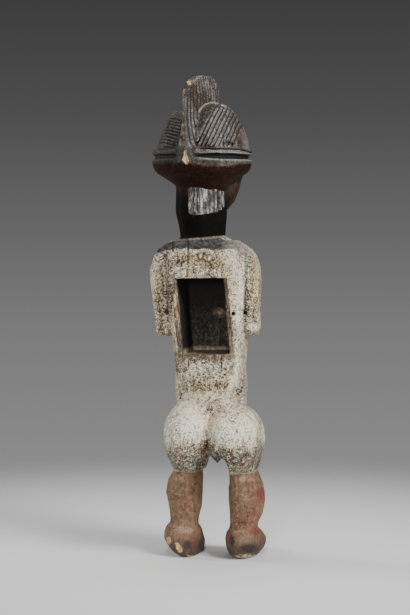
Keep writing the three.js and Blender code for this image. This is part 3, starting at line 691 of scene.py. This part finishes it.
# Painted shade: the hollow darkens the deeper inside it a point lies.
painted_hollow_shade = np.where(in_hollow, rise(-along, -50, -30), 0)
mouth = (np.abs(across - 0.02 * (height - 403)) < 47.5) & (height > 332.5) & (height < 470.5)
rebate = mouth & (along > 30) & (along < 50.5)
shoulder_line = SHOULDER_BAND + 2.5 * noise(points, 9, 31) - 5 * rise(np.abs(across), 50, 70)
leftward = (1 - rise(rightward, -44, -24)) * rise(height, 648, 656)
ledge = in_hollow * (1 - rise(height, 344, 350)) * (1 - rise(along, 30, 40))
masks = {
    "hair": rise(height, hairline - 1.5, hairline + 1.5) * (1 - face_skin),
    "groove": groove,
    "band": band,
    "arris": left_arris(points, crest),
    "border": marks["border"],
    # painted shade: the left of the head, away from the light, and the shadow spots by the crest's chips
    "painted_shade_left": np.maximum(leftward * (1 - 0.35 * rise(height, 672, 682)), 0.7 * spots(column, row, SHADE)),
    "brim": rise(height, 648, 654) * (1 - rise(height, 674, 680)) * (1 - crest),
    "neck": rise(height - collar, -0.5, 1.5),
    "collar": 1 - rise(np.abs(height - collar + 0.8), 0.7, 2.2),
    "head": np.maximum(rise(height + 0.5 * np.minimum(along, 40), 607, 622) * (1 - 0.9 * under_patch), chin),
    "shoulder": rise(height, shoulder_line - 2, shoulder_line + 2) * rise(along, 14, 30),
    # painted sheen: the right end of the shoulder band, towards the light
    "sheen": rise(rightward, 12, 42) * rise(height, 500, 512) * (1 - rise(height - collar, -2, 0)),
    # painted light on the tops of the buttocks
    "seat": rise(height, 176, 214) * (1 - rise(height, 236, 262)) * rise(along, 36, 52),
    # painted shade on the lower seat, which is also more speckled
    "low_seat": (1 - rise(height, 176, 210)) * rise(height, 138, 146),
    "leg": 1 - rise(height + 0.1 * along, 141, 151),
    "foot": 1 - rise(height, 14, 42),
    # painted shade under the arms, between the legs and feet and low on the heels
    "dark_shade": spots(column, row, DARK_SHADE_SPOTS) * seen,
    "rouge": spots(column, row, ROUGE) * seen,
    "pale": spots(column, row, PALE) * seen,
    "hollow": painted_hollow_shade,
    "hollow_low": (1 - rise(height, 352, 440)) * (along < -36),
    "ledge": ledge * (1 - rise(rightward, 26, 32)),
    "patch": spots(column, row, [((219.3, 312.8), (6.5, 5.0))]) * (along < -30),
    "rim": (1 - rise(np.abs(height + 0.1 * along - 147.5), 0.8, 2.2)) * seen,
    # stains, and painted shade in the arm seams and the cleft
    "stains_and_shade": spots(column, row, STAINS_AND_SHADE) * seen,
    "rebate": rebate * 1.0,
    # the arm seams, darkened with painted shade
    "seam": marks["seam"] / 1.6,
    "bare": rise(marks["chip"], 0.15, 0.4),
    "nick": rise(marks["nick"], 0.1, 0.3),
    "crack": np.maximum(rise(marks["crack"], 0.3, 1.0), rise(marks["pit"], 0.3, 1.0)),
    # 'proud' lights the hair's ridges with painted highlight
    "proud": rise(curve, 0.02, 0.16),
    # 'folded' darkens the creases with painted shade
    "folded": rise(-curve, 0.02, 0.16),
    # the neck's scuffed, shiny patch; its grey-white colour is partly painted highlight
    "scuff": under_patch,
    "jaw": rise(column, 220, 230) * rise(row, 174, 186) * (1 - rise(row, 190, 208)) * seen,
    # kaolin rubbed smooth, painted brighter as sheen
    "smooth": spots(column, row, SMOOTH) * seen,
    "brown": spots(column, row, BROWN) * seen,
    # white kaolin, and painted highlight on lit edges
    "white_and_highlight": spots(column, row, WHITE_AND_HIGHLIGHT) * seen,
    "sole": spots(column, row, SOLES) * seen,
}
for name, values in masks.items():
    keep_mask(figure, name, values)

# The finish: one skin of old hardwood under pigments, so it is one material. Kaolin rubbed into the body has
# worn to a mottled grey and cream, soot and oil blacken the hair and neck, red-brown pigment stains the legs,
# and the wood shows ochre where it is chipped. Light and shade are also painted into the colour in places.
# Pattern sizes are millimetres on the wood.
wood = bpy.data.materials.new("painted_hardwood")
wood.use_nodes = True
tree = wood.node_tree
tree.nodes.clear()
where = add_node(tree, "ShaderNodeTexCoord").outputs["Object"]


def pattern(size, detail, roughness, stretch=(1, 1, 1)):
    """Noise with features of a size in millimetres, stretched along the grain."""
    place = add_node(tree, "ShaderNodeMapping", {"Scale": stretch}, {"Vector": where})
    return add_node(tree, "ShaderNodeTexNoise", {
        "Scale": 1 / (size * MM), "Detail": detail, "Roughness": roughness,
    }, {"Vector": place.outputs["Vector"]}).outputs["Fac"]


cloud = pattern(38, 3, 0.55, (1, 1, 0.7))
blotch = pattern(17, 4, 0.6)
mottle = pattern(6.5, 5, 0.7)
speck = pattern(2.7, 3, 0.75)
fleck = pattern(4.2, 5, 0.8, (1, 1, 0.8))
grain = pattern(2.4, 4, 0.65, (1, 1, 0.22))
streak = pattern(4.5, 5, 0.7, (1, 1, 0.16))
drift = pattern(15, 3, 0.6, (1, 1, 0.22))
grit = pattern(1.9, 3, 0.7)
mask = {
    name: add_node(tree, "ShaderNodeAttribute", {"attribute_name": name}).outputs["Fac"] for name in masks
}


def ramped(value, stops):
    """A colour or a grey read off a value, by stops of place and hex colour."""
    node = add_node(tree, "ShaderNodeValToRGB", None, {"Fac": value})
    for _ in stops[2:]:
        node.color_ramp.elements.new(0.5)
    for element, (place, colour) in zip(node.color_ramp.elements, stops):
        element.position = place
        element.color = linear(colour)
    return node.outputs["Color"]


def over(under, cover, amount):
    """One colour laid over another by an amount."""
    node = add_node(tree, "ShaderNodeMix", {"data_type": "RGBA"}, {"Factor": amount})
    tree.links.new(under, node.inputs[6])
    tree.links.new(cover, node.inputs[7])
    return node.outputs[2]


def sum_of(first, weight, second=0.0):
    """first * weight + second, where second is a number or a socket."""
    node = add_node(tree, "ShaderNodeMath", {"operation": "MULTIPLY_ADD", 1: weight}, {0: first})
    if isinstance(second, float):
        node.inputs[2].default_value = second
    else:
        tree.links.new(second, node.inputs[2])
    return node.outputs[0]


def stepped(value, low, high):
    """0 below low, 1 above high."""
    node = add_node(tree, "ShaderNodeMapRange", {
        "interpolation_type": "SMOOTHSTEP", "From Min": low, "From Max": high,
    }, {"Value": value})
    return node.outputs["Result"]


def product(first, second):
    return add_node(tree, "ShaderNodeMath", {"operation": "MULTIPLY"}, {0: first, 1: second}).outputs[0]


def ragged(name, spread=1.2):
    """A finish's mask with its edge broken up by the mottling of the surface."""
    return stepped(sum_of(mottle, spread, sum_of(mask[name], 1, -0.5 * spread)), 0.38, 0.62)


# Body: cream kaolin over brown wood, greyer or more ochre from place to place, rubbed thin into dark specks.
tone = sum_of(grit, 0.3, sum_of(speck, 0.3, sum_of(mottle, 0.16, sum_of(fleck, 0.12, sum_of(streak, 0.12)))))
tone = sum_of(drift, 0.12, sum_of(cloud, 0.1, sum_of(tone, 1, -0.11)))
# Painted light and shade: the tops of the buttocks lighter, the lower seat darker.
tone = sum_of(mask["seat"], 0.033, sum_of(mask["low_seat"], -0.027, tone))
# Painted shade: the arm seams and the folded creases are toned darker, as are the stains and the shade spots.
tone = sum_of(mask["stains_and_shade"], -0.03, sum_of(mask["seam"], -0.02, sum_of(mask["folded"], -0.02, tone)))
# Lighter where white kaolin lies thick and where highlights are painted on edges; darker at brown spots.
tone = sum_of(mask["white_and_highlight"], 0.024, sum_of(mask["brown"], -0.018, tone))
cream = ramped(tone, [
    (0.43, "#271f15"), (0.465, "#776650"), (0.492, "#b5a48c"), (0.522, "#dfd1b9"), (0.556, "#fff8e8"),
])
greyed = ramped(tone, [
    (0.43, "#1d1b16"), (0.465, "#555140"), (0.492, "#8f8974"), (0.522, "#bfb8a2"), (0.556, "#f2ecdc"),
])
ochre = ramped(tone, [
    (0.43, "#23190f"), (0.465, "#625039"), (0.492, "#95805f"), (0.522, "#c4b08c"), (0.556, "#f2e5c6"),
])
# Greyer in drifts, more so on the shaded lower seat.
colour = over(cream, greyed, stepped(sum_of(mask["low_seat"], 0.06, drift), 0.46, 0.58))
colour = over(colour, ochre, sum_of(stepped(sum_of(cloud, 1, sum_of(mask["brown"], 0.3)), 0.5, 0.62), 0.9))
smooth_lit_cream = ramped(tone, [(0.43, "#8b7a62"), (0.485, "#d6c6ab"), (0.54, "#fbf0dc")])
# Smooth cream, painted bright as sheen on the right panel and the tops of the buttocks.
colour = over(colour, smooth_lit_cream, sum_of(product(mask["smooth"], stepped(mottle, 0.3, 0.54)), 0.8))
dots = ramped(grain, [(0.3, "#14110d"), (0.7, "#39332a")])
scatter = sum_of(mask["low_seat"], -0.03, sum_of(mask["stains_and_shade"], -0.05))
scatter = sum_of(speck, 1, sum_of(blotch, -0.3, scatter))
colour = over(colour, dots, sum_of(stepped(sum_of(mask["smooth"], 0.05, scatter), 0.28, 0.235), 0.85))
# Painted shade: dark specks crowd along the arm seams.
colour = over(colour, dots, sum_of(product(mask["seam"], stepped(mottle, 0.3, 0.6)), 0.35))

# Legs: brown wood with a red-brown stain and sooty flecks, darker towards the feet, with painted shade in
# dark spots and painted light on the tops of the calves and heels.
wear = sum_of(mottle, 0.4, sum_of(speck, 0.25, sum_of(streak, 0.2, sum_of(fleck, 0.15))))
stain = ramped(wear, [(0.42, "#4c3b2c"), (0.47, "#71573f"), (0.53, "#85694e"), (0.58, "#a0846a")])
warm = ramped(wear, [(0.42, "#513025"), (0.47, "#754b39"), (0.53, "#895e4a"), (0.58, "#a07662")])
stain = over(stain, warm, stepped(cloud, 0.44, 0.62))
red = ramped(wear, [(0.4, "#52201a"), (0.5, "#70342a"), (0.6, "#8e4e40")])
stain = over(stain, red, sum_of(product(mask["rouge"], stepped(mottle, 0.2, 0.56)), 0.85))
# Painted highlight on the upward-facing tops of the calves and heels, where the pale spots lie.
rubbed = ramped(wear, [(0.4, "#8b6f55"), (0.5, "#ab8f73"), (0.6, "#c2a98c")])
stain = over(stain, rubbed, sum_of(product(mask["pale"], stepped(wear, 0.38, 0.56)), 0.75))
# Near-black for sooty flecks and for painted shade.
soot_and_shade = ramped(speck, [(0.35, "#14100e"), (0.7, "#3b312a")])
stain = over(stain, soot_and_shade, sum_of(product(mask["foot"], stepped(mottle, 0.3, 0.5)), 0.8))
# Dark flecks, thickest at the stains and at the spots of painted shade.
stain = over(stain, soot_and_shade, sum_of(stepped(sum_of(fleck, 1, sum_of(mask["stains_and_shade"], 0.14)), 0.62, 0.7), 0.8))
# Painted shade in the dark spots on the legs and feet.
stain = over(stain, soot_and_shade, sum_of(product(mask["dark_shade"], stepped(mottle, 0.22, 0.5)), 0.85))
rubbed_edge = ramped(fleck, [(0.42, "#4d3f31"), (0.5, "#a8957b"), (0.6, "#d8c9b0")])
stain = over(stain, rubbed_edge, product(mask["sole"], stepped(mottle, 0.34, 0.46)))
colour = over(colour, stain, ragged("leg", 0.7))
worn_rim = ramped(fleck, [(0.42, "#7d6a54"), (0.56, "#dccdb4")])
colour = over(colour, worn_rim, sum_of(product(mask["rim"], stepped(mottle, 0.4, 0.52)), 0.8))
# Painted shade in the dark spots under the ends of the arms.
colour = over(colour, soot_and_shade, sum_of(product(mask["dark_shade"], stepped(mottle, 0.3, 0.46)), 0.7))

# Shoulder band, collar and neck: soot and oil, with a pale line at the foot of the neck, and painted sheen
# lightening the band's right end.
tarred = ramped(wear, [(0.4, "#151311"), (0.49, "#34312f"), (0.58, "#67625e")])
# Lighter grey for the painted sheen on the band's right end.
sheen = ramped(wear, [(0.4, "#4d4844"), (0.5, "#87807a"), (0.6, "#b7b0a9")])
tarred = over(tarred, sheen, sum_of(mask["sheen"], 0.9))
colour = over(colour, tarred, ragged("shoulder", 1.0))
black = ramped(mottle, [(0.36, "#040303"), (0.66, "#120e0c")])
colour = over(colour, black, mask["neck"])
polish = sum_of(streak, 0.6, sum_of(fleck, 0.4))
# The neck's shiny scuffed patina, its grey-white partly a painted highlight.
scuffed_highlight = ramped(polish, [(0.44, "#0f0d0c"), (0.49, "#423f3c"), (0.535, "#7a7773"), (0.58, "#bdbab5")])
line = ramped(fleck, [(0.4, "#3c342b"), (0.6, "#a89b89")])
colour = over(colour, line, sum_of(mask["collar"], 0.8))

# Head: bare red-brown wood below the hairline, greyer at the jaw, and brown-black hair whose ribs are rubbed
# grey and lit with painted highlights, whose grooves are painted near-black as shade, and whose left lobe is
# darkened with painted shade.
skin = ramped(wear, [(0.4, "#0c0504"), (0.5, "#25120a"), (0.6, "#482611")])
colour = over(colour, skin, mask["head"])
jaw = ramped(wear, [(0.42, "#251913"), (0.5, "#3b2e25"), (0.58, "#4e4338")])
colour = over(colour, jaw, sum_of(mask["jaw"], 0.85))
# The scuffed patch on the neck, with a painted highlight on its shine.
colour = over(colour, scuffed_highlight, ragged("scuff", 0.9))
worn = sum_of(wear, 0.6, sum_of(grit, 0.4))
hair_colour = ramped(worn, [(0.42, "#1f1b18"), (0.47, "#453f3a"), (0.52, "#6b655f"), (0.57, "#989189")])
browned = ramped(worn, [(0.42, "#18110d"), (0.5, "#3a2d25"), (0.57, "#6a5a4d")])
hair_colour = over(hair_colour, browned, stepped(cloud, 0.46, 0.6))
# Grey for the rib edges: rubbed wear, and painted highlight where the ridges stand proud.
edges = ramped(grit, [(0.4, "#4c4641"), (0.58, "#aaa49d")])
hair_colour = over(hair_colour, edges, sum_of(product(mask["proud"], stepped(blotch, 0.38, 0.56)), 0.6))
# Near-black for painted shade, in the hair's grooves and on the left lobe.
deep = ramped(speck, [(0.3, "#050404"), (0.7, "#100d0b")])
netted = ramped(fleck, [(0.44, "#0e0a08"), (0.56, "#4a3f37"), (0.64, "#7b7067")])
hair_colour = over(hair_colour, netted, sum_of(product(mask["brim"], stepped(mottle, 0.34, 0.6)), 0.85))
# Painted highlight along the proud ridges of the brim.
hair_colour = over(hair_colour, edges, sum_of(product(mask["proud"], mask["brim"]), 0.8))
# Painted shade darkens the left lobe and the spots beside the crest's chips.
hair_colour = over(hair_colour, deep, sum_of(mask["painted_shade_left"], 0.72))
# Painted shade: the combed grooves, the brim groove and the line under the lobes are darkened near-black.
hair_colour = over(hair_colour, deep, stepped(mask["groove"], 0.2, 0.62))
hair_colour = over(hair_colour, netted, mask["band"])
pale_edge = ramped(fleck, [(0.42, "#4b3b2d"), (0.52, "#8d765e"), (0.64, "#c9b496")])
hair_colour = over(hair_colour, pale_edge, product(mask["arris"], stepped(blotch, 0.42, 0.54)))
rolled = ramped(grit, [(0.4, "#4f4943"), (0.56, "#a49d96")])
hair_colour = over(hair_colour, rolled, mask["border"])
colour = over(colour, hair_colour, mask["hair"])

# Hollow and rebate, bared wood, pale nicks, and cracks and holes. Inside the hollow the dark wood is painted
# darker the deeper it lies, as shade, and paler low down and on its floor, partly as light falling there and
# partly dust.
ledge = ramped(polish, [(0.42, "#241a12"), (0.5, "#5f4d3b"), (0.6, "#a08a70")])
colour = over(colour, ledge, sum_of(product(mask["rebate"], stepped(mottle, 0.36, 0.5)), 0.9))
dark = ramped(wear, [(0.4, "#080605"), (0.5, "#110e0c"), (0.6, "#221d18")])
# Painted light on the lower part of the hollow.
lit = ramped(fleck, [(0.38, "#110e0b"), (0.5, "#312c25"), (0.64, "#6a6154")])
inside = over(dark, lit, mask["hollow_low"])
tan = ramped(wear, [(0.4, "#5c4c3b"), (0.5, "#93816a"), (0.6, "#c0af96")])
# The floor of the hollow: pale with dust and with painted light.
inside = over(inside, tan, sum_of(mask["ledge"], 0.9))
inside = over(inside, tan, sum_of(product(mask["patch"], stepped(mottle, 0.2, 0.6)), 0.75))
colour = over(colour, inside, mask["hollow"])
fresh = ramped(grain, [(0.34, "#9c6d3a"), (0.5, "#d3aa70"), (0.66, "#f0d9ac")])
colour = over(colour, fresh, mask["bare"])
chalk = ramped(fleck, [(0.38, "#a39a8c"), (0.55, "#efe9de")])
colour = over(colour, chalk, mask["nick"])
# Cracks, worm holes and lashing holes painted near-black as the shade inside them.
pitch = ramped(speck, [(0.0, "#0b0908"), (1.0, "#18120f")])
colour = over(colour, pitch, mask["crack"])

# Gloss: dry and matt on kaolin and chips, duller still on the sooted neck, and a low polish on the legs,
# under the head and on the neck's scuffed patch, with more sheen on the hair.
rough = sum_of(mask["scuff"], -0.35, 0.9)
rough = sum_of(mask["leg"], -0.2, sum_of(mask["head"], -0.15, rough))
rough = sum_of(mottle, 0.3, sum_of(rough, 1, -0.15))
relief = sum_of(mottle, 0.5, sum_of(fleck, 0.35, sum_of(speck, 0.25, sum_of(grain, 0.2))))
bump = add_node(tree, "ShaderNodeBump", {"Strength": 0.7, "Distance": 1.0 * MM}, {"Height": relief})
sootless = sum_of(mask["scuff"], 0.3, sum_of(mask["neck"], -0.36, 0.5))
shader = add_node(tree, "ShaderNodeBsdfPrincipled", {"IOR": 1.5}, {
    "Specular IOR Level": sum_of(mask["hair"], 0.2, sootless), "Base Color": colour, "Roughness": rough,
    "Normal": bump.outputs["Normal"],
})
add_node(tree, "ShaderNodeOutputMaterial", None, {"Surface": shader.outputs["BSDF"]})
figure.data.materials.clear()
figure.data.materials.append(wood)

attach(figure, "root")
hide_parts("carved_figure")
